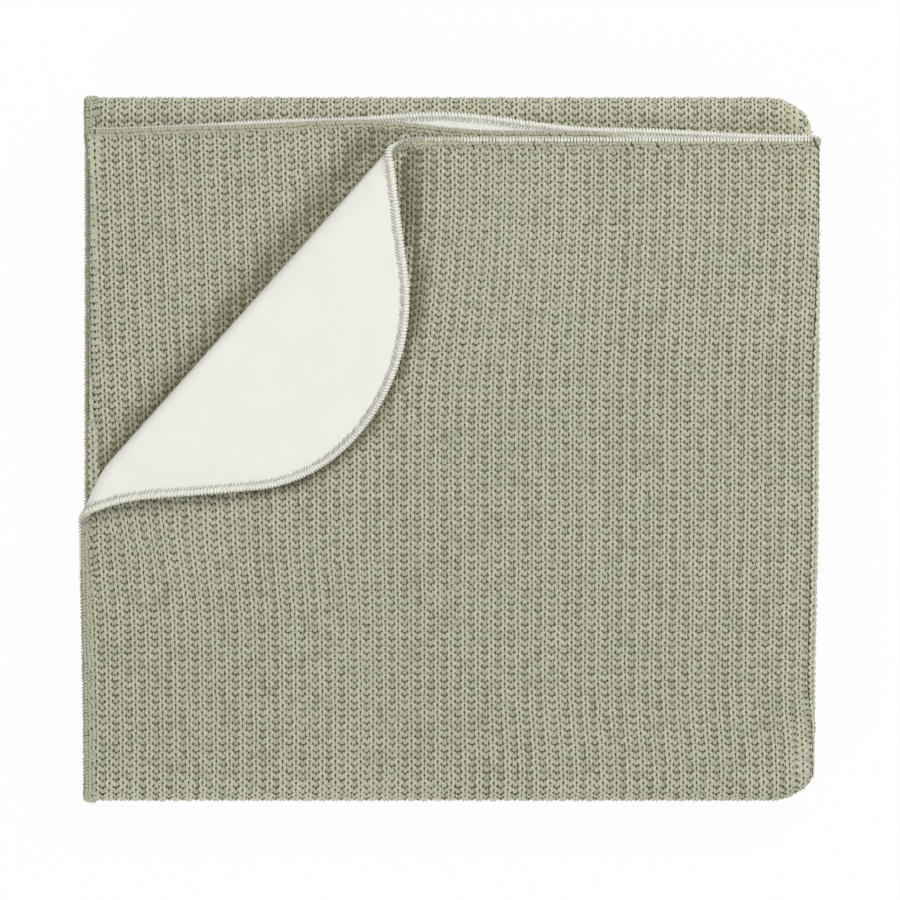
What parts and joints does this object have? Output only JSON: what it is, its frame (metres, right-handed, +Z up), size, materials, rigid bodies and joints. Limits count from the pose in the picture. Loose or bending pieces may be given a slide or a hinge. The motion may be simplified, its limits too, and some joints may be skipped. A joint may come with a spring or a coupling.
{
  "type": "folded knitted baby blanket",
  "caption": "Rib-knit baby blanket with a smooth jersey lining, folded into a flat stack with one rounded corner turned back",
  "frame": {"origin": "under the middle of the folded blanket, on the surface that it rests on", "axes": "+Z up through the stack, +X to the right across the ribs, +Y along the ribs toward the free ends"},
  "size_m": [0.3432, 0.3272, 0.039],
  "materials": {
    "knit": "matte rib knit, pale sage melange",
    "lining": "matte smooth jersey, warm white"
  },
  "bodies": {
    "root": {"knit_face": "knit", "jersey_lining": "lining"}
  },
  "joints": []
}
